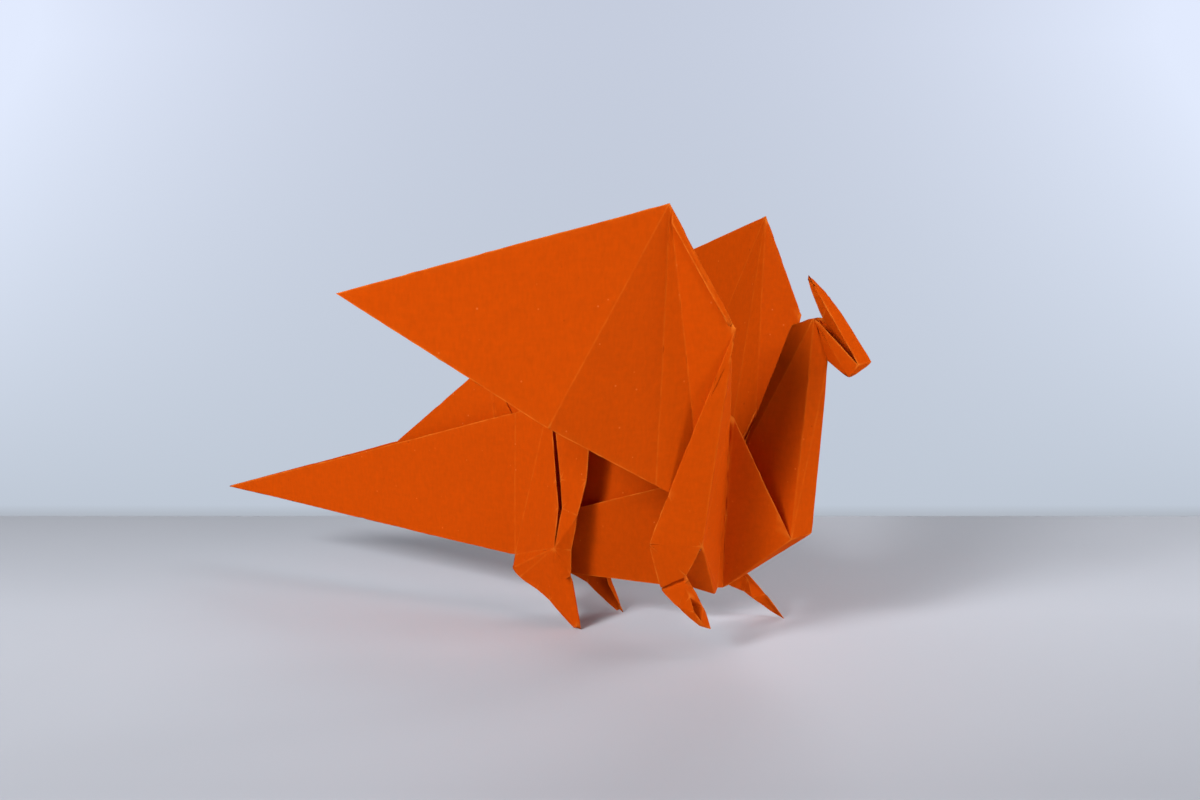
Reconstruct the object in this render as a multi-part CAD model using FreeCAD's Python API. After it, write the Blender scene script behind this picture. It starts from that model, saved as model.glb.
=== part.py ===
"""Origami dragon folded from one square of coloured paper.

The dragon is a single sheet.  It is drawn as flat panels that meet at creases:
a ridged layer runs from the tail to the neck, its margins turn back outside as
hems, and the wings and the four legs are pleats drawn out of it.  Each side's
panels hang on named corner points, and the finished middle surface is given the
thickness of the paper with a mitre at every crease.

Units are millimetres and degrees.  +X points to the head, the dragon's right
side is -Y, +Z is up, and the feet stand on Z = 0.  Corners are written for the
left side, as (along the body, off the middle plane, height), and mirrored.
"""
import FreeCAD, Part

import math
import os

Vector = FreeCAD.Vector
RIGHT, LEFT = -1, 1

# ----------------------------------------------------------------- the sheet
PAPER = 0.22             # thickness of the paper
LAYER = 0.5              # gap between two layers that lie on each other
MITRE_LIMIT = 2.5        # longest mitre at a crease, in half thicknesses
MITRE_ROUNDS = 400       # steps in the search for a mitre's direction

# ------------------------------------------------- body, seen from the side
HIP_X = -21.2            # end of the tail's lower fold, at the hind leg
HIP_HEIGHT = 15.4
FLANK_X = -6.8           # rear end of the belly, behind the hind leg
BELLY_X = 20.4           # front end of the belly, behind the fore leg
BELLY_HEIGHT = 12.8
KEEL_X = 32.1            # point of the keel between the front legs
CHEST_X = 52.2           # front corner of the chest
CHEST_HEIGHT = 27.7
BACK_X = -31.6           # highest point of the back
BACK_HEIGHT = 62.6
WITHERS_X = 34.3         # front end of the back, between the wings
WITHERS_HEIGHT = 45.0
NAPE_X = 34.7            # foot of the neck's ridge, below the withers
NAPE_HEIGHT = 42.3
SADDLE_HEIGHT = 28.4     # rear end of the belly layer's upper edge
LEDGE_X = 24.6           # front end of that edge, below the wing
LEDGE_HEIGHT = 38.8
SIDE_TUCK = (1.0, -1.5, -4.0)      # the body's side runs on this far behind that edge

# ------------------------------------------------------- body, half widths
HIP_HALF = 4.8
LOIN_SHIFT = (2.0, -0.6, 1.5)      # hip to the rear end of the body's inner layer
FLANK_HALF = 5.8
BELLY_HALF = 4.8
SADDLE_HALF = 7.7
LEDGE_HALF = 8.4
KEEL_HALF = 1.9
KEEL_SIDE = (31.6, 4.5, 13.5)      # where the shoulder pleat's seam ends, beside the keel

# -------------------------------------------------------------------- tail
TAIL_LENGTH = 96.9       # hip to tip
TAIL_TIP_HEIGHT = 23.4
CREST_X = -59.3          # bend of the ridge, where the back rises
CREST_HEIGHT = 40.8
HEM_END = (-20.3, 5.5, 51.6)       # front end of the tail's hem, on the thigh

# -------------------------------------------------------------------- neck
NECK_LENGTH = 39.2       # chest corner to throat, along the front fold
NECK_RISE = 86.4
NECK_DEPTH = 8.0         # throat back to the ridge
NECK_CUT = 7.7           # the top edge climbs this much from throat to ridge
NECK_HEM = 2.6           # throat back to the top of the side fold
NECK_HEM_RISE = 9.5
NECK_HEM_HALF = 2.4
NOTCH = (48.4, 3.4, 26.6)          # foot of the neck's side fold, in the V of the chest
HOOD = (36.8, 13.3, 55.6)          # top of the shoulder pleat
HOOD_FRONT = (37.5, 12.8, 54.7)    # where its blunt top turns down to the notch
HOOD_LAP = (-1.3, -1.2, -2.2)      # hood to the end of the layer inside the pleat
COLLAR_DROP = 1.0        # the neck's collar ends this far below that layer

# -------------------------------------------------------------------- head
JAW_LENGTH = 13.8
JAW_DROP = 46.0
CHIN_LENGTH = 6.1
CHIN_DROP = 35.6
MUZZLE_LENGTH = 5.9      # chin to snout
MUZZLE_RISE = 38.0
BROW_LENGTH = 16.7       # snout to the bend in the crest
BROW_RISE = 56.2
HORN_LENGTH = 6.8        # brow to the horn's tip
HORN_RISE = 43.8
HEAD_HALF = 1.7
CHIN_HALF = 0.9
CHEEK = {RIGHT: (2.3, 58.0, 1.0), LEFT: (1.1, 105.0, 0.7)}    # length, drop, half width
TORN_EDGE = ((4.0, 80.0, 1.1), (9.9, 73.0, 1.5))              # left side only, from the horn

# ------------------------------------------------------------------- wings
APEX_X = 30.6
APEX_HALF = 35.4
APEX_HEIGHT = 99.8
# Edges that reach back from the apex, each as its length, its bearing (0 is
# straight back, 90 straight out) and its drop below the level.
WING_TIP = (65.9, 33.5, 15.0)
REAR_CREASE = (50.3, 26.5, 61.5)
# Feet of the creases that fan down from the apex to the shoulder.
VALLEY_FOOT = (23.5, 23.3, 40.8)
ROOT_FOOT = (32.8, 19.7, 35.7)
EDGE_FOOT = (42.1, 28.4, 75.3)
WING_HEM_START = 0.04    # shares of the leading edge where its hem starts
WING_HEM_END = 0.96      # and ends
WING_HEM_TOP = 1.3       # width of the hem at its start
WING_HEM_FOOT = 0.9      # and at its end
WING_HEM_SLANT = 2.5     # its upper end slopes down this far

# -------------------------------------------------------------------- legs
# The legs are folded alike and stand differently: both hind toes and the left
# fore toe are on the ground, and the right fore toe hangs just above it.
HIND_TOE = {RIGHT: (-2.2, 8.6, 0.0), LEFT: (2.4, 7.0, 0.0)}
FORE_TOE = {RIGHT: (32.7, 12.5, 6.5), LEFT: (41.7, 19.2, 0.0)}
FORE_ANKLE = {RIGHT: (26.1, 19.2, 18.6), LEFT: (26.6, 18.5, 12.0)}    # middle of the cuff
FORE_FOOT_TWIST = {RIGHT: 0.0, LEFT: -15.0}
CUFF_LINE = (0.90, -0.06, 0.44)    # run of the cuff across the leg
TOE_WIDTH = 1.8
SHIN_FLAP = 0.5          # share of the shin that its inner flap runs down
SHIN_FLAP_DEPTH = 1.0

# Corners of the hind leg with the share of the toe's stride that each takes.
HIND_LEG_CORNERS = {
    "thigh_rear": ((-9.6, 8.2, 54.9), 0.0),
    "thigh_top": ((-8.9, 9.0, 54.3), 0.0),
    "slit_rear_high": ((-6.3, 11.3, 37.1), 0.0),
    "slit_rear_low": ((-5.2, 12.2, 30.6), 0.0),
    "knee": ((-6.8, 11.5, 20.4), 0.0),
    "hock": ((-21.4, 6.2, 12.3), 0.1),
    "hock_low": ((-19.0, 6.8, 10.4), 0.2),
    "shank": ((-13.6, 7.9, 8.4), 0.4),
    "heel": ((-9.8, 8.6, 6.1), 0.6),
    "shin_ridge": ((-5.8, 9.9, 12.1), 0.1),
    "slit_top": ((-8.5, 8.4, 54.3), 0.0),
    "slit_front_high": ((-5.5, 10.6, 37.0), 0.0),
    "slit_front_low": ((-4.6, 11.4, 30.4), 0.0),
    "thigh_front_top": ((2.5, 10.4, 54.0), 0.0),
    "thigh_front_high": ((2.0, 12.2, 37.9), 0.0),
    "thigh_front_low": ((-0.1, 12.4, 29.2), 0.0),
    "calf": ((-2.7, 10.4, 20.1), 0.0),
    "shin": ((-3.4, 9.3, 13.6), 0.0),
}
# Corners of the fore foot: share of the way from the cuff to the toe, distance
# across that line and distance in from the outer face.
FORE_FOOT_CORNERS = {
    "cuff_rear": (0.0, -3.5, 0.0),
    "cuff_front": (0.0, 3.5, 0.0),
    "crimp_rear": (-0.05, -2.3, 1.6),
    "crimp_front": (-0.01, 3.0, 1.9),
    "ankle_rear": (0.05, -3.9, 0.4),
    "ankle_front": (0.11, 1.9, 0.1),
    "foot_top": (0.12, 2.7, 1.2),
    "foot_rear": (0.40, -2.2, -1.4),
    "foot_rim": (0.32, 1.3, -0.4),
    "foot_slot": (0.56, 0.3, -1.3),
    "foot_low": (0.78, -0.3, -1.0),
    "foot_tread": (0.81, -1.1, -1.2),
    "foot_knuckle": (0.62, 1.8, 0.8),
    "foot_pit": (0.52, -1.4, 1.0),
    "fore_toe": (1.0, 0.0, 0.0),
}
WRIST_FRONT = (33.2, 20.4, 27.8)
WRIST_REAR = (22.0, 23.5, 27.9)
WRIST_FOLLOW = 0.4       # share of the ankle's shift that the wrist takes
ARM_JOIN = 0.76          # where the wing's root meets the arm's rear edge
ARM_SEAM = 0.12          # where the shoulder pleat leaves the arm's front edge
WING_SEAM = 0.1          # wing root to where the shoulder's layer leaves the body
PLEAT_TIP = (32.8, 10.1, 13.9)     # free corner of the pleat in the armpit
PLEAT_REAR = (26.2, 15.0, 17.2)


# ----------------------------------------------------------------- helpers
def polar(length, heading, rise):
    """Vector of this length, turned by heading in plan and lifted by rise."""
    flat = length * math.cos(math.radians(rise))
    turn = math.radians(heading)
    return Vector(flat * math.cos(turn), flat * math.sin(turn), length * math.sin(math.radians(rise)))


def outward(point, half_width):
    """The same point, set off the middle plane by this half width."""
    return Vector(point.x, half_width, point.z)


# ------------------------------------------------------------ corner points
def body_points():
    tip = Vector(HIP_X - TAIL_LENGTH, 0, TAIL_TIP_HEIGHT)
    hip = Vector(HIP_X, HIP_HALF, HIP_HEIGHT)
    saddle = Vector(FLANK_X, SADDLE_HALF, SADDLE_HEIGHT)
    ledge = Vector(LEDGE_X, LEDGE_HALF, LEDGE_HEIGHT)
    return {
        "tail_tip": tip,
        "crest": Vector(CREST_X, 0, CREST_HEIGHT),
        "back": Vector(BACK_X, 0, BACK_HEIGHT),
        "withers": Vector(WITHERS_X, 0, WITHERS_HEIGHT),
        "nape": Vector(NAPE_X, 0, NAPE_HEIGHT),
        "hip": hip,
        "loin": hip + Vector(*LOIN_SHIFT),
        "hem_end": Vector(*HEM_END),
        "flank": Vector(FLANK_X, FLANK_HALF, BELLY_HEIGHT),
        "belly": Vector(BELLY_X, BELLY_HALF, BELLY_HEIGHT),
        "keel": Vector(KEEL_X, KEEL_HALF, BELLY_HEIGHT),
        "keel_side": Vector(*KEEL_SIDE),
        "chest": Vector(CHEST_X, 0, CHEST_HEIGHT),
        "saddle": saddle,
        "ledge": ledge,
        "side_rear": saddle + Vector(*SIDE_TUCK),
        "side_front": ledge + Vector(*SIDE_TUCK),
    }


def neck_points(chest, withers):
    throat = chest + polar(NECK_LENGTH, 0, NECK_RISE)
    shoulder = Vector(*HOOD) + Vector(*HOOD_LAP)
    return {
        "throat": throat,
        "poll": Vector(throat.x - NECK_DEPTH, 0, throat.z + NECK_CUT),
        "hem_top": Vector(throat.x - NECK_HEM, NECK_HEM_HALF, throat.z + NECK_HEM_RISE),
        "hood": Vector(*HOOD),
        "hood_front": Vector(*HOOD_FRONT),
        "shoulder": shoulder,
        "notch": Vector(*NOTCH),
        "collar_side": shoulder + Vector(LAYER, -LAYER, -COLLAR_DROP),
        "collar_top": withers + Vector(LAYER, 0, -COLLAR_DROP),
    }


def head_points(side, throat, hem_top):
    jaw = hem_top + polar(JAW_LENGTH, 0, -JAW_DROP)
    chin = throat + polar(CHIN_LENGTH, 0, -CHIN_DROP)
    snout = chin + polar(MUZZLE_LENGTH, 0, MUZZLE_RISE)
    brow = snout + polar(BROW_LENGTH, 180, BROW_RISE)
    horn = brow + polar(HORN_LENGTH, 180, HORN_RISE)
    points = {
        "jaw": outward(jaw, HEAD_HALF),
        "chin": outward(chin, CHIN_HALF),
        "snout": snout,
        "brow": brow,
        "horn": horn,
    }
    length, drop, half = CHEEK[side]
    points["cheek"] = outward(horn + polar(length, 0, -drop), half)
    if side == LEFT:
        for name, (length, drop, half) in zip(("torn_middle", "torn_end"), TORN_EDGE):
            points[name] = outward(horn + polar(length, 0, -drop), half)
    return points


def wing_points(withers):
    apex = Vector(APEX_X, APEX_HALF, APEX_HEIGHT)
    root, foot = Vector(*ROOT_FOOT), Vector(*EDGE_FOOT)
    points = {
        "apex": apex,
        "wing_valley": Vector(*VALLEY_FOOT),
        "wing_root": root,
        "wing_edge": foot,
        "wing_seam": root + (withers - root) * WING_SEAM,
    }
    for name, (length, bearing, drop) in {"wing_tip": WING_TIP, "wing_rear": REAR_CREASE}.items():
        points[name] = apex + polar(length, 180 - bearing, -drop)
    edge = foot - apex
    start, end = apex + edge * WING_HEM_START, apex + edge * WING_HEM_END
    outer = edge.cross(root - apex).normalize()
    rearward = outer.cross(edge).normalize()
    points["wing_fold_top"] = start
    points["wing_fold_foot"] = end
    slant = edge.normalize() * WING_HEM_SLANT
    points["wing_hem_top"] = start + rearward * WING_HEM_TOP + outer * LAYER + slant
    points["wing_hem_foot"] = end + rearward * WING_HEM_FOOT + outer * LAYER
    return points


def hind_leg_points(side):
    toe = Vector(*HIND_TOE[side])
    stride = toe - Vector(*HIND_TOE[RIGHT])
    points = {name: Vector(*at) + stride * share for name, (at, share) in HIND_LEG_CORNERS.items()}
    shin, rear = points["shin"], toe - Vector(TOE_WIDTH / 2, 0, 0)
    points["hind_toe_rear"] = rear
    points["hind_toe_front"] = toe + Vector(TOE_WIDTH / 2, 0, 0)
    points["hind_toe_ridge"] = toe + Vector(0, LAYER, LAYER)
    points["shin_flap"] = shin + (rear - shin) * SHIN_FLAP - Vector(0, SHIN_FLAP_DEPTH, 0)
    return points


def fore_leg_points(side, top):
    ankle, toe = Vector(*FORE_ANKLE[side]), Vector(*FORE_TOE[side])
    along = toe - ankle
    twist = FreeCAD.Rotation(along, FORE_FOOT_TWIST[side])
    inward = twist.multVec(along.cross(Vector(*CUFF_LINE))).normalize()
    across = inward.cross(along).normalize()
    points = {
        name: ankle + along * share + across * aside + inward * depth
        for name, (share, aside, depth) in FORE_FOOT_CORNERS.items()
    }
    shift = (ankle - Vector(*FORE_ANKLE[RIGHT])) * WRIST_FOLLOW
    points["wrist_front"] = Vector(*WRIST_FRONT) + shift
    points["wrist_rear"] = Vector(*WRIST_REAR) + shift
    points["arm_edge"] = top + (points["wrist_rear"] - top) * ARM_JOIN
    points["arm_seam"] = top + (points["wrist_front"] - top) * ARM_SEAM
    points["pleat_tip"] = Vector(*PLEAT_TIP)
    points["pleat_rear"] = Vector(*PLEAT_REAR) + shift
    return points


def side_points(side):
    points = body_points()
    points.update(neck_points(points["chest"], points["withers"]))
    points.update(head_points(side, points["throat"], points["hem_top"]))
    points.update(wing_points(points["withers"]))
    points.update(hind_leg_points(side))
    points.update(fore_leg_points(side, points["wing_edge"]))
    return {name: Vector(p.x, side * p.y, p.z) for name, p in points.items()}


# ------------------------------------------------------------------ panels
# Flat triangles between the corner points.  Two panels that share an edge meet
# at a crease there; an edge that only one panel has is an edge of the paper.
TAIL = [
    ("tail_tip", "crest", "hip"),
    ("crest", "back", "hip"),
    ("back", "loin", "hip"),
    ("back", "saddle", "loin"),
    ("saddle", "flank", "loin"),
    ("tail_tip", "hip", "hem_end"),
    ("hip", "thigh_rear", "hem_end"),
]
BACK = [
    ("back", "saddle", "side_rear"),
    ("back", "side_rear", "side_front"),
    ("back", "side_front", "withers"),
    ("withers", "side_front", "wing_valley"),
    ("withers", "wing_valley", "wing_seam"),
    ("wing_seam", "wing_valley", "wing_root"),
    ("withers", "wing_seam", "shoulder"),
]
BELLY = [
    ("saddle", "ledge", "belly"),
    ("saddle", "belly", "flank"),
]
NECK = [
    ("nape", "poll", "hem_top"),
    ("nape", "hem_top", "notch"),
    ("nape", "notch", "collar_side"),
    ("nape", "collar_side", "collar_top"),
    ("notch", "hem_top", "throat"),
    ("notch", "throat", "chest"),
    ("notch", "chest", "keel"),
]
SHOULDER = [
    ("hood_front", "notch", "keel"),
    ("hood", "hood_front", "keel"),
    ("hood", "keel", "keel_side"),
    ("hood", "keel_side", "wrist_front"),
    ("arm_seam", "hood", "wrist_front"),
    ("keel_side", "pleat_tip", "wrist_front"),
    ("wrist_front", "pleat_tip", "pleat_rear"),
    ("wing_edge", "wing_root", "arm_edge"),
]
WING = [
    ("apex", "wing_tip", "wing_rear"),
    ("apex", "wing_rear", "wing_valley"),
    ("apex", "wing_valley", "wing_root"),
    ("apex", "wing_root", "wing_fold_top"),
    ("wing_fold_top", "wing_root", "wing_fold_foot"),
    ("wing_fold_foot", "wing_root", "wing_edge"),
    ("wing_fold_top", "wing_fold_foot", "wing_hem_foot"),
    ("wing_fold_top", "wing_hem_foot", "wing_hem_top"),
]
HIND_LEG = [
    ("thigh_rear", "slit_rear_high", "thigh_top"),
    ("thigh_rear", "hip", "slit_rear_high"),
    ("hip", "slit_rear_low", "slit_rear_high"),
    ("hip", "knee", "slit_rear_low"),
    ("hip", "hock", "knee"),
    ("hock", "hock_low", "knee"),
    ("hock_low", "shank", "knee"),
    ("shank", "heel", "knee"),
    ("heel", "shin_ridge", "knee"),
    ("heel", "hind_toe_ridge", "shin_ridge"),
    ("heel", "hind_toe_rear", "hind_toe_ridge"),
    ("knee", "shin_ridge", "shin"),
    ("shin_ridge", "hind_toe_ridge", "shin"),
    ("hind_toe_ridge", "hind_toe_front", "shin"),
    ("hind_toe_front", "shin_flap", "shin"),
    ("knee", "shin", "calf"),
    ("knee", "calf", "thigh_front_low"),
    ("knee", "thigh_front_low", "slit_front_low"),
    ("slit_front_low", "thigh_front_low", "thigh_front_high"),
    ("slit_front_low", "thigh_front_high", "slit_front_high"),
    ("slit_front_high", "thigh_front_high", "thigh_front_top"),
    ("slit_front_high", "thigh_front_top", "slit_top"),
]
FORE_LEG = [
    ("wing_edge", "arm_seam", "arm_edge"),
    ("arm_seam", "wrist_front", "arm_edge"),
    ("arm_edge", "wrist_front", "wrist_rear"),
    ("wrist_front", "cuff_front", "wrist_rear"),
    ("cuff_front", "cuff_rear", "wrist_rear"),
    ("cuff_rear", "cuff_front", "crimp_front"),
    ("cuff_rear", "crimp_front", "crimp_rear"),
    ("crimp_rear", "crimp_front", "ankle_front"),
    ("crimp_rear", "ankle_front", "ankle_rear"),
    ("crimp_front", "foot_top", "ankle_front"),
    ("ankle_rear", "ankle_front", "foot_rear"),
    ("ankle_front", "foot_rim", "foot_rear"),
    ("foot_rim", "foot_slot", "foot_rear"),
    ("foot_slot", "foot_tread", "foot_rear"),
    ("foot_slot", "foot_low", "foot_tread"),
    ("foot_low", "fore_toe", "foot_tread"),
    ("ankle_front", "foot_top", "foot_knuckle"),
    ("ankle_front", "foot_knuckle", "foot_rim"),
    ("foot_rim", "foot_knuckle", "foot_pit"),
    ("foot_knuckle", "foot_low", "foot_pit"),
    ("foot_low", "fore_toe", "foot_knuckle"),
]
JAW = [
    ("hem_top", "jaw", "chin"),
    ("hem_top", "chin", "throat"),
    ("snout", "chin", "jaw"),
]
HEAD = {
    RIGHT: [
        ("cheek", "horn", "brow"),
        ("cheek", "brow", "jaw"),
        ("brow", "snout", "jaw"),
    ],
    LEFT: [
        ("horn", "brow", "cheek"),
        ("cheek", "brow", "torn_middle"),
        ("torn_middle", "brow", "torn_end"),
        ("torn_end", "brow", "jaw"),
        ("brow", "snout", "jaw"),
        ("torn_end", "jaw", "hem_top"),
    ],
}
BOTH_SIDES = TAIL + BACK + BELLY + NECK + SHOULDER + WING + HIND_LEG + FORE_LEG + JAW


def key_of(point):
    return (round(point.x, 5), round(point.y, 5), round(point.z, 5))


def collect_panels():
    """All corner points once, and every panel as three numbers in that list."""
    corners, numbers, panels = [], {}, []
    for side in (RIGHT, LEFT):
        points = side_points(side)
        for names in BOTH_SIDES + HEAD[side]:
            panel = []
            for name in names:
                key = key_of(points[name])
                if key not in numbers:
                    numbers[key] = len(corners)
                    corners.append(points[name])
                panel.append(numbers[key])
            panels.append(panel)
    return corners, panels


def edges_of(panel):
    return [(panel[0], panel[1]), (panel[1], panel[2]), (panel[2], panel[0])]


def turn_one_way(panels):
    """Wind all panels alike, spreading from the first one across the creases."""
    by_edge = {}
    for index, panel in enumerate(panels):
        for a, b in edges_of(panel):
            by_edge.setdefault((min(a, b), max(a, b)), []).append(index)
    done, queue = {0}, [0]
    while queue:
        index = queue.pop()
        for a, b in edges_of(panels[index]):
            for other in by_edge[(min(a, b), max(a, b))]:
                if other in done:
                    continue
                if (a, b) in edges_of(panels[other]):
                    panels[other].reverse()
                done.add(other)
                queue.append(other)
    return by_edge


def mitre(normals):
    """Shift that keeps the paper half a thickness deep on every panel around a corner.

    Its direction is the one that faces all the panels best.  At a sharp crease the
    full mitre would be a long spike, so it is cut to MITRE_LIMIT.
    """
    facing = Vector()
    for normal in normals:
        facing = facing + normal
    facing.normalize()
    for step in range(1, MITRE_ROUNDS):
        weakest = min(normals, key=facing.dot)
        facing = (facing + weakest * (0.5 / step)).normalize()
    least = min(facing.dot(normal) for normal in normals)
    return facing * (PAPER / 2 / max(least, 1 / MITRE_LIMIT))


def thicken(corners, panels, by_edge):
    """Closed solid that has the panels as its middle surface."""
    normals = [[] for _ in corners]
    for panel in panels:
        a, b, c = (corners[i] for i in panel)
        normal = (b - a).cross(c - a).normalize()
        for i in panel:
            normals[i].append(normal)
    shifts = [mitre(around) for around in normals]
    upper = [corner + shift for corner, shift in zip(corners, shifts)]
    lower = [corner - shift for corner, shift in zip(corners, shifts)]
    triangles = []
    for panel in panels:
        a, b, c = panel
        triangles.append((upper[a], upper[b], upper[c]))
        triangles.append((lower[a], lower[c], lower[b]))
        for start, end in edges_of(panel):
            if len(by_edge[(min(start, end), max(start, end))]) == 1:
                triangles.append((upper[end], upper[start], lower[start]))
                triangles.append((upper[end], lower[start], lower[end]))
    faces = [Part.Face(Part.makePolygon(list(t) + [t[0]])) for t in triangles]
    return Part.Solid(Part.Shell(faces))


def folded_sheet():
    corners, panels = collect_panels()
    by_edge = turn_one_way(panels)
    sheet = thicken(corners, panels, by_edge)
    if sheet.Volume < 0:
        sheet.reverse()
    box = sheet.BoundBox
    sheet.translate(Vector(-box.Center.x, -box.Center.y, -box.ZMin))
    return sheet


os.makedirs("parts", exist_ok=True)
folded_sheet().exportStep("parts/folded_sheet.step")
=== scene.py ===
import math

import bmesh
import bpy
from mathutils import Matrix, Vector, kdtree, noise


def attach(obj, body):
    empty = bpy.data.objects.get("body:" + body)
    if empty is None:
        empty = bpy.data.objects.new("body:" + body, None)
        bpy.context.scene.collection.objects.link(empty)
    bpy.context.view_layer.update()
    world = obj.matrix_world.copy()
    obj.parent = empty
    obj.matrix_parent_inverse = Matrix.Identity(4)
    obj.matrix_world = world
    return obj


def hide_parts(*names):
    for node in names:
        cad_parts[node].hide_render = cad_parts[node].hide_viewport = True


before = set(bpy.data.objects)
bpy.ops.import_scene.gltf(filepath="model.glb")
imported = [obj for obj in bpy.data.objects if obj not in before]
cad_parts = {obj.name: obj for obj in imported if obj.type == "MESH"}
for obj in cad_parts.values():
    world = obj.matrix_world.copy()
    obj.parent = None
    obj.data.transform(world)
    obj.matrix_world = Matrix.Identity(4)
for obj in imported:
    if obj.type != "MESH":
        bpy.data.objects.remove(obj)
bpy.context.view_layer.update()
cad_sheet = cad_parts["folded_sheet"]

MM = 0.001

# The sheet and its mesh.
PAPER = 0.22 * MM          # thickness of the sheet
RIM = 0.6 * MM             # CAD edges shorter than this run across the paper's thickness
FOLD_ANGLE = math.radians(4)            # panels that turn less than this count as flat
FOLD_ROW = 0.16 * MM       # width of one row of the rounding beside a fold
FOLD_ROWS = 2
NARROWEST = 3 * FOLD_ROW   # triangles whose inner circle is smaller get no rows
NEAR_FOLD = 2.5 * FOLD_ROW              # mesh edges shorter than this lie within the rows
ROUNDING = 3               # rounds of relaxing the rows
LONGEST_EDGE = 2.85 * MM   # mesh edges are halved until none is longer
HALVINGS = 9

# How real paper differs from flat panels and straight cuts: pairs of wavelength and depth in mm.
SWAY = ((30.0, 0.20), (9.0, 0.05))
CUT_WOBBLE = ((5.0, 0.05), (1.3, 0.04))
TORN_WOBBLE = ((3.0, 0.12), (0.9, 0.10))
SWAY_SEED = Vector((7, 3, 1))
EDGE_SEED = Vector((11, 5, 2))
TORN_FROM = Vector((80, 0.2, 66)) * MM  # the torn edge of the head lies beyond this corner

# Slack corners of the left side, mirrored on the right: place and shift in mm.
SLACK = [
    ((50.3, 23.3, 40.9), (1.2, 3.2, 0.7)),       # foot of the wing's valley, bulges outward
    ((20.0, 5.8, 12.9), (-1.3, -2.6, -0.9)),     # rear end of the belly, draws inward
    ((47.2, 4.8, 12.9), (-1.0, -2.7, -0.9)),     # front end of the belly, the same
]

# Lighter lines along folds and cuts: wear and painted highlight along the folds, painted highlight
# along the cuts.
LIGHTER_LINE_REACH = 0.34 * MM     # a lighter line fades out this far from its edge
LIGHTER_LINE_LENGTH = 15 * MM      # shorter folds have no lighter line

# Colours, as linear red, green and blue.
PAPER_COLOUR = (0.60, 0.067, 0.0006)
PALE_SPECK = (0.76, 0.16, 0.03)
DARK_SPECK = (0.36, 0.030, 0.001)
# lighter lines: wear and painted highlight along folds, painted highlight along cuts
FOLD_WEAR_AND_HIGHLIGHT = (0.80, 0.16, 0.010)
CUT_HIGHLIGHT = (0.88, 0.22, 0.02)
FLOOR_COLOUR = (0.66, 0.69, 0.765)
WALL_FOOT_SHADE = (0.43, 0.47, 0.53)          # painted shade in the backdrop's last few millimetres
WALL_LOW = (0.515, 0.575, 0.665)        # painted light of the backdrop near the table, darker
WALL_HIGH = (0.56, 0.61, 0.73)          # painted light of the backdrop above the dragon, lighter
SKY = (0.85, 0.90, 1.0)

noise.seed_set(1)          # without a seed the noise differs from run to run


# ------------------------------------------------------------ middle surface
def third(face, a, b):
    """The corner of a triangle that isn't a or b."""
    return next(v for v in face.verts if v is not a and v is not b)


def middle_surface(cad):
    """Corner points and triangles half way between the two skins of the CAD solid."""
    bm = bmesh.new()
    bm.from_mesh(cad.data)
    bmesh.ops.remove_doubles(bm, verts=bm.verts, dist=2e-6)
    bmesh.ops.triangulate(bm, faces=bm.faces)
    across = [e for e in bm.edges if e.calc_length() < RIM]
    pair = {}
    for e in across:
        pair[e.verts[0]] = e.verts[1]
        pair[e.verts[1]] = e.verts[0]
    rim = {f for e in across for f in e.link_faces}

    def panels_at(a, b):
        """The panels on the edge between two corners."""
        e = bm.edges.get((a, b))
        return [f for f in e.link_faces if f not in rim] if e else []

    def is_start(a, b):
        """Whether this edge and the one across the thickness have one panel each."""
        if a not in pair or b not in pair:
            return False
        return len(panels_at(a, b)) == 1 and len(panels_at(pair[a], pair[b])) == 1

    first, a, b = next((f, *e.verts) for f in bm.faces if f not in rim
                       for e in f.edges if is_start(*e.verts))
    twin = panels_at(pair[a], pair[b])[0]
    other = {a: pair[a], b: pair[b], third(first, a, b): third(twin, pair[a], pair[b])}
    matched, queue = {first: twin}, [first]
    while queue:
        f = queue.pop()
        for e in f.edges:
            a, b = e.verts
            for g in panels_at(a, b):
                if g in matched:
                    continue
                h = next(h for h in panels_at(other[a], other[b]) if h is not matched[f])
                other[third(g, a, b)] = third(h, other[a], other[b])
                matched[g] = h
                queue.append(g)
    number = {v: i for i, v in enumerate(other)}
    corners = [(v.co + w.co) / 2 for v, w in other.items()]
    panels = [tuple(number[v] for v in f.verts) for f in matched]
    bm.free()
    return corners, panels


def settle(corners):
    """Lets the slack folds lie as paper does, the same on both sides."""
    for place, shift in SLACK:
        for side in (-1, 1):
            mirror = Vector((1, side, 1))
            spot = Vector(place) * MM * mirror
            i = min(range(len(corners)), key=lambda k: (corners[k] - spot).length)
            corners[i] = corners[i] + Vector(shift) * MM * mirror


# ------------------------------------------------------------------- paper
def inradius(face):
    """Radius of the circle that fits inside a triangle."""
    return 2 * face.calc_area() / face.calc_perimeter()


def is_fold(edge):
    return len(edge.link_faces) == 2 and edge.calc_face_angle(0) > FOLD_ANGLE


def is_cut(edge):
    return len(edge.link_faces) == 1


def line_tree(edges, step=0.1 * MM):
    """A search tree of points along these edges."""
    points = []
    for e in edges:
        a, b = (v.co for v in e.verts)
        count = max(1, round((b - a).length / step))
        points += [a.lerp(b, i / count) for i in range(count + 1)]
    tree = kdtree.KDTree(len(points))
    for i, p in enumerate(points):
        tree.insert(p, i)
    tree.balance()
    return tree


def lighter_line_near(bm, edges):
    """Per vertex: 1 on these edges, falling to 0 at the reach of the lighter lines."""
    tree = line_tree(edges)
    return lambda: [max(0.0, 1 - tree.find(v.co)[2] / LIGHTER_LINE_REACH) for v in bm.verts]


def wobble(place, bands, seed):
    """Noise vector at a place, in metres, summed over bands of wavelength and depth in mm."""
    p = place / MM
    waves = (noise.noise_vector(p / wave + seed) * depth for wave, depth in bands)
    return sum(waves, Vector()) * MM


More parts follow.
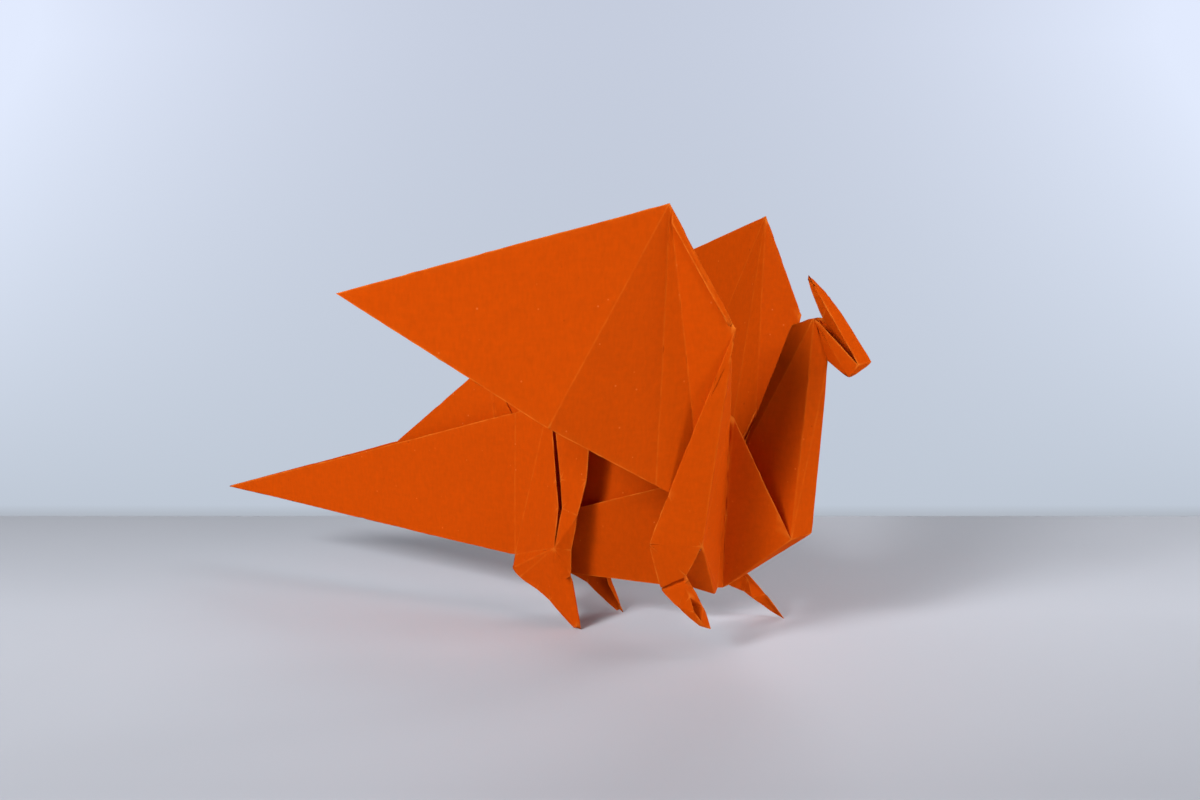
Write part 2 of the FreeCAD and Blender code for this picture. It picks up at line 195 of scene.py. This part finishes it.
def refine(bm):
    """Adds narrow rows beside the folds and edges, and small triangles between them."""
    for _ in range(FOLD_ROWS):
        for f in [f for f in bm.faces if len(f.verts) == 3 and inradius(f) > NARROWEST]:
            bmesh.ops.inset_individual(bm, faces=[f], thickness=FOLD_ROW, use_even_offset=True)
    for _ in range(HALVINGS):
        long_edges = [e for e in bm.edges if e.calc_length() > LONGEST_EDGE]
        bmesh.ops.subdivide_edges(bm, edges=long_edges, cuts=1)
        bmesh.ops.triangulate(bm, faces=[f for f in bm.faces if len(f.verts) > 3])
    bm.normal_update()


def round_folds(bm):
    """Relaxes the rows beside each fold, so that the paper turns round it."""
    def near(v):
        return [e.other_vert(v).co for e in v.link_edges if e.calc_length() < NEAR_FOLD]

    on_folds = {v for e in bm.edges if is_fold(e) for v in e.verts}
    ring = on_folds | {e.other_vert(v) for v in on_folds for e in v.link_edges}
    for _ in range(ROUNDING):
        target = {v: v.co.lerp(sum(near(v), Vector()) / len(near(v)), 0.5) for v in ring if near(v)}
        for v, place in target.items():
            v.co = place


def ruffle_edges(bm):
    """Moves the cut edges in and out in their own plane, most of all on the torn one."""
    outward = {}
    for e in bm.edges:
        if is_cut(e):
            direction = (e.verts[1].co - e.verts[0].co).normalized()
            for v in e.verts:
                outward.setdefault(v, Vector())
                outward[v] += direction.cross(e.link_faces[0].normal)
    for v, across in outward.items():
        torn = all(here > corner for here, corner in zip(v.co, TORN_FROM))
        amount = wobble(v.co, TORN_WOBBLE if torn else CUT_WOBBLE, EDGE_SEED).x
        if across.length > 0.2:         # the two sides of a hairpin cancel out
            v.co += across.normalized() * amount


def build_paper(corners, panels):
    """The dragon's mesh, with the wear and painted highlight along folds and the painted highlight
    along cuts stored on its points.
    """
    bm = bmesh.new()
    verts = [bm.verts.new(c) for c in corners]
    for p in panels:
        bm.faces.new([verts[i] for i in p])
    bm.normal_update()
    long_folds = [e for e in bm.edges if is_fold(e) and e.calc_length() > LIGHTER_LINE_LENGTH]
    lighter_lines = {"fold_wear_and_highlight": lighter_line_near(bm, long_folds),
            "cut_highlight": lighter_line_near(bm, [e for e in bm.edges if is_cut(e)])}
    refine(bm)
    lighter_lines = {name: measure() for name, measure in lighter_lines.items()}
    round_folds(bm)
    ruffle_edges(bm)
    for v in bm.verts:
        v.co += wobble(v.co, SWAY, SWAY_SEED)
    bmesh.ops.recalc_face_normals(bm, faces=bm.faces)
    mesh = bpy.data.meshes.new("paper_dragon")
    bm.to_mesh(mesh)
    bm.free()
    mesh.shade_smooth()
    for name, values in lighter_lines.items():
        mesh.attributes.new(name, "FLOAT", "POINT").data.foreach_set("value", values)
    print("paper", len(mesh.vertices), len(mesh.polygons))
    return mesh


corners, panels = middle_surface(cad_sheet)
settle(corners)
print("middle surface", len(corners), "corners", len(panels), "panels")
paper = bpy.data.objects.new("paper_dragon", build_paper(corners, panels))
bpy.context.scene.collection.objects.link(paper)
solid = paper.modifiers.new("thickness", "SOLIDIFY")
solid.thickness = PAPER
solid.offset = 0
solid.use_even_offset = False


# -------------------------------------------------------- node-tree helpers
def nodes_of(name):
    material = bpy.data.materials.new(name)
    material.use_nodes = True
    tree = material.node_tree
    return material, tree, tree.nodes["Principled BSDF"]


def feed(tree, socket, value):
    """Sets a socket to a number or three numbers, or links another socket to it."""
    if isinstance(value, (int, float)):
        socket.default_value = value
    elif isinstance(value, tuple):
        socket.default_value = (*value, 1)
    else:
        tree.links.new(value, socket)


def maths(tree, operation, a, b):
    node = tree.nodes.new("ShaderNodeMath")
    node.operation = operation
    feed(tree, node.inputs[0], a)
    feed(tree, node.inputs[1], b)
    return node.outputs[0]


def times(tree, a, b):
    return maths(tree, "MULTIPLY", a, b)


def larger(tree, a, b):
    return maths(tree, "MAXIMUM", a, b)


def remap(tree, value, low, high, out_low, out_high):
    """Value's range low to high stretched to another range, and held at its ends."""
    node = tree.nodes.new("ShaderNodeMapRange")
    names = ("From Min", "From Max", "To Min", "To Max")
    for name, number in zip(names, (low, high, out_low, out_high)):
        node.inputs[name].default_value = number
    tree.links.new(value, node.inputs["Value"])
    return node.outputs["Result"]


def noise_node(tree, place, scale, detail=2.0, stretch=(1, 1, 1)):
    """Noise over the object's own coordinates, drawn out along an axis by stretch."""
    mapping = tree.nodes.new("ShaderNodeMapping")
    mapping.inputs["Scale"].default_value = stretch
    tree.links.new(place.outputs["Object"], mapping.inputs["Vector"])
    node = tree.nodes.new("ShaderNodeTexNoise")
    node.inputs["Scale"].default_value = scale
    node.inputs["Detail"].default_value = detail
    tree.links.new(mapping.outputs["Vector"], node.inputs["Vector"])
    return node.outputs["Fac"]


def blend(tree, factor, a, b, kind="MIX"):
    """Colour a turned into colour b by factor; each colour is a socket or three numbers."""
    node = tree.nodes.new("ShaderNodeMix")
    node.data_type = "RGBA"
    node.blend_type = kind
    for socket, value in zip((node.inputs[0], node.inputs[6], node.inputs[7]), (factor, a, b)):
        feed(tree, socket, value)
    return node.outputs[2]


def shaded(tree, colour, value):
    """Colour made darker or lighter by a number."""
    grey = tree.nodes.new("ShaderNodeCombineColor")
    for socket in grey.inputs[:3]:
        tree.links.new(value, socket)
    return blend(tree, 1.0, colour, grey.outputs[0], "MULTIPLY")


def mottled(tree, colour, pattern, depth):
    """Colour made uneven by a noise pattern, by a share of depth each way."""
    return shaded(tree, colour, remap(tree, pattern, 0.3, 0.7, 1 - depth, 1 + depth))


def along(tree, place, direction, centre=0.0):
    """Distance in metres along a direction, from centre."""
    dot = tree.nodes.new("ShaderNodeVectorMath")
    dot.operation = "DOT_PRODUCT"
    dot.inputs[1].default_value = direction
    tree.links.new(place.outputs["Object"], dot.inputs[0])
    return maths(tree, "SUBTRACT", dot.outputs["Value"], centre)


def specks(tree, place, scale, radius, rarity, strength):
    """Small dots: one at the heart of few of the cells."""
    cells = tree.nodes.new("ShaderNodeTexVoronoi")
    cells.inputs["Scale"].default_value = scale
    tree.links.new(place.outputs["Object"], cells.inputs["Vector"])
    dot = remap(tree, cells.outputs["Distance"], radius, radius * 0.5, 0.0, 1.0)
    split = tree.nodes.new("ShaderNodeSeparateColor")
    tree.links.new(cells.outputs["Color"], split.inputs[0])
    few = remap(tree, split.outputs[0], 1 - rarity, 1 - rarity * 0.5, 0.0, 1.0)
    return times(tree, times(tree, dot, few), strength)


def lighter_line(tree, name, breaks, strength):
    """The lighter line stored on the mesh under this name (wear and painted highlight along folds,
    painted highlight along cuts), broken up by noise.
    """
    stored = tree.nodes.new("ShaderNodeAttribute")
    stored.attribute_name = name
    patchy = remap(tree, breaks, 0.35, 0.62, 0.25 * strength, strength)
    return times(tree, stored.outputs["Fac"], patchy)


def seen_directly(tree):
    """1 for camera, mirror and see-through rays, 0 for the light that reaches the paper."""
    ray = tree.nodes.new("ShaderNodeLightPath").outputs
    seen = larger(tree, ray["Is Camera Ray"], ray["Is Glossy Ray"])
    return larger(tree, seen, ray["Is Transmission Ray"])


def join_shaders(tree, factor, a, b):
    """Joins shader a, turned into shader b by factor, to the output."""
    node = tree.nodes.new("ShaderNodeMixShader")
    tree.links.new(factor, node.inputs[0])
    tree.links.new(a.outputs[0], node.inputs[1])
    tree.links.new(b.outputs[0], node.inputs[2])
    output = next(n for n in tree.nodes if n.type in ("OUTPUT_MATERIAL", "OUTPUT_WORLD"))
    tree.links.new(node.outputs[0], output.inputs["Surface"])


# ---------------------------------------------------------- paper material
def orange_paper():
    """Matt craft paper coloured all through, with fibres and specks, worn folds with a painted
    highlight, and painted highlights along the cuts.
    """
    material, tree, shader = nodes_of("orange_paper")
    place = tree.nodes.new("ShaderNodeTexCoord")
    fibre = noise_node(tree, place, 1500, 5, (1, 1, 0.35))
    cross_fibre = noise_node(tree, place, 1100, 3, (0.4, 0.4, 1))
    cloud = noise_node(tree, place, 70, 3)
    breaks = noise_node(tree, place, 420, 2)
    colour = mottled(tree, PAPER_COLOUR, fibre, 0.045)
    colour = mottled(tree, colour, cross_fibre, 0.03)
    colour = mottled(tree, colour, cloud, 0.015)
    colour = blend(tree, specks(tree, place, 620, 0.16, 0.13, 0.7), colour, PALE_SPECK)
    colour = blend(tree, specks(tree, place, 380, 0.12, 0.05, 0.55), colour, DARK_SPECK)
    # Painted highlights: lighter along the long folds, where the paper is also worn, and along the
    # cut edges.
    colour = blend(tree, lighter_line(tree, "fold_wear_and_highlight", breaks, 0.3), colour, FOLD_WEAR_AND_HIGHLIGHT)
    colour = blend(tree, lighter_line(tree, "cut_highlight", breaks, 0.7), colour, CUT_HIGHLIGHT)
    tree.links.new(colour, shader.inputs["Base Color"])
    tree.links.new(remap(tree, fibre, 0.3, 0.7, 0.66, 0.82), shader.inputs["Roughness"])
    shader.inputs["Specular IOR Level"].default_value = 0.02
    bump = tree.nodes.new("ShaderNodeBump")
    bump.inputs["Strength"].default_value = 0.5
    bump.inputs["Distance"].default_value = 0.02 * MM
    tree.links.new(fibre, bump.inputs["Height"])
    tree.links.new(bump.outputs["Normal"], shader.inputs["Normal"])
    return material


paper.data.materials.append(orange_paper())
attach(paper, "root")
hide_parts("folded_sheet")

# ------------------------------------------------------------------- stage
VIEW = math.radians(24)    # the camera looks along +Y turned by this
TILT = math.radians(7.68)  # and down by this
EYE = Vector((0.1293, -0.2302, 0.0892))
AWAY = Vector((-math.sin(VIEW), math.cos(VIEW), 0))     # level, along the view
SIDE = Vector((math.cos(VIEW), math.sin(VIEW), 0))      # level, to the camera's right
UP = Vector((0, 0, 1))
WALL_AT = 0.358            # from the camera to the wall's foot
WALL_FADE = 0.16           # the backdrop reaches its high colour at this height
WALL_SHADE = 0.004         # and its painted foot shade fades out at this one
STAGE_HALF = 2.0           # half the width of the floor and the wall

foot_of_wall = Vector((EYE.x, EYE.y, 0)) + AWAY * WALL_AT


def plane(name, centre, across, up, half_across, half_up):
    mesh = bpy.data.meshes.new(name)
    turns = ((-1, -1), (1, -1), (1, 1), (-1, 1))
    points = [centre + across * (a * half_across) + up * (b * half_up) for a, b in turns]
    mesh.from_pydata(points, [], [(0, 1, 2, 3)])
    obj = bpy.data.objects.new(name, mesh)
    bpy.context.scene.collection.objects.link(obj)
    return obj


def floor_material():
    """A satin table that turns into the backdrop's colour far away from the dragon."""
    material, tree, shader = nodes_of("pale_table")
    place = tree.nodes.new("ShaderNodeTexCoord")
    depth = along(tree, place, AWAY, foot_of_wall.dot(AWAY))
    # Painted light and shade on the table: darker towards the front, painted shade along the wall's
    # foot, painted light to the right.
    near_end = remap(tree, depth, -0.19, -0.10, 0.72, 1.0)
    shade_by_wall = remap(tree, depth, -0.09, 0.0, 1.0, 0.86)
    width = along(tree, place, SIDE, foot_of_wall.dot(SIDE))
    light_to_right = remap(tree, width, -0.12, 0.12, 0.97, 1.17)
    colour = mottled(tree, FLOOR_COLOUR, noise_node(tree, place, 6, 2), 0.03)
    colour = shaded(tree, colour, times(tree, times(tree, near_end, shade_by_wall), light_to_right))
    tree.links.new(colour, shader.inputs["Base Color"])
    shader.inputs["Roughness"].default_value = 0.6
    shader.inputs["Specular IOR Level"].default_value = 0.1
    distance = tree.nodes.new("ShaderNodeVectorMath")
    distance.operation = "LENGTH"
    tree.links.new(place.outputs["Object"], distance.inputs[0])
    far = remap(tree, distance.outputs["Value"], 0.30, 0.52, 0.0, 1.0)
    glow = tree.nodes.new("ShaderNodeEmission")
    glow.inputs["Color"].default_value = (*WALL_HIGH, 1)
    join_shaders(tree, times(tree, seen_directly(tree), far), shader, glow)
    return material


def wall_material():
    """Shown glowing at a pale colour with painted light and shade from the front, and open from
    behind and to the light.
    """
    material, tree, _ = nodes_of("pale_backdrop")
    place = tree.nodes.new("ShaderNodeTexCoord")
    height = along(tree, place, UP)
    rising = remap(tree, height, 0.0, WALL_FADE, 0.0, 1.0)
    off_centre = along(tree, place, SIDE, foot_of_wall.dot(SIDE))
    toward_corners = times(tree, rising, times(tree, off_centre, off_centre))
    # Painted light on the backdrop: darker near the table, lighter above and towards its sides.
    colour = blend(tree, rising, WALL_LOW, WALL_HIGH)
    colour = shaded(tree, colour, remap(tree, toward_corners, 0.0, 0.034, 1.0, 1.36))
    # Painted shade where the backdrop meets the table.
    colour = blend(tree, remap(tree, height, 0.0, WALL_SHADE, 1.0, 0.0), colour, WALL_FOOT_SHADE)
    glow = tree.nodes.new("ShaderNodeEmission")
    tree.links.new(colour, glow.inputs["Color"])
    clear = tree.nodes.new("ShaderNodeBsdfTransparent")
    behind = tree.nodes.new("ShaderNodeNewGeometry").outputs["Backfacing"]
    in_front = remap(tree, behind, 0.0, 1.0, 1.0, 0.0)
    join_shaders(tree, times(tree, seen_directly(tree), in_front), clear, glow)
    return material


floor = plane("floor", foot_of_wall, SIDE, AWAY, STAGE_HALF, STAGE_HALF)
floor.data.materials.append(floor_material())
wall = plane("wall", foot_of_wall + UP * 1.0, SIDE, UP, STAGE_HALF, 1.0)
wall.data.materials.append(wall_material())

# ------------------------------------------------------------------ lights
MIDDLE = Vector((0, 0, 0.05))           # every lamp points here


def softbox(name, turn, rise, distance, size, power):
    """Square soft light: turn is degrees to the camera's right, rise degrees above level."""
    lamp = bpy.data.lights.new(name, "AREA")
    lamp.size = size
    lamp.energy = power
    turn, rise = math.radians(turn), math.radians(rise)
    level = SIDE * math.sin(turn) - AWAY * math.cos(turn)
    obj = bpy.data.objects.new(name, lamp)
    obj.location = MIDDLE + (level * math.cos(rise) + UP * math.sin(rise)) * distance
    obj.rotation_euler = (MIDDLE - obj.location).to_track_quat("-Z", "Y").to_euler()
    bpy.context.scene.collection.objects.link(obj)


softbox("key_left", -43, 28, 0.5, 0.10, 1.58)
softbox("key_front", -33, 28, 0.5, 0.10, 0.68)
softbox("right_front", 50, 5, 0.8, 0.18, 2.0)
softbox("right_side", 78, 6, 0.8, 0.18, 1.3)
softbox("high_right", 85, 50, 0.9, 0.40, 1.8)
softbox("back_fill", 155, 38, 0.9, 0.40, 1.7)

world = bpy.data.worlds.new("studio")
bpy.context.scene.world = world
world.use_nodes = True
sky = world.node_tree.nodes["Background"]
sky.inputs["Color"].default_value = (*SKY, 1)
sky.inputs["Strength"].default_value = 0.02
backdrop = world.node_tree.nodes.new("ShaderNodeBackground")
backdrop.inputs["Color"].default_value = (*WALL_HIGH, 1)
join_shaders(world.node_tree, seen_directly(world.node_tree), sky, backdrop)

# ------------------------------------------------------------------ camera
lens = bpy.data.cameras.new("camera")
lens.sensor_width = 36
lens.lens = 31.5
lens.clip_start, lens.clip_end = 0.01, 20
camera = bpy.data.objects.new("camera", lens)
camera.location = EYE
camera.rotation_euler = (math.radians(90) - TILT, 0, VIEW)
bpy.context.scene.collection.objects.link(camera)
bpy.context.scene.camera = camera
bpy.context.scene.view_settings.view_transform = "Standard"
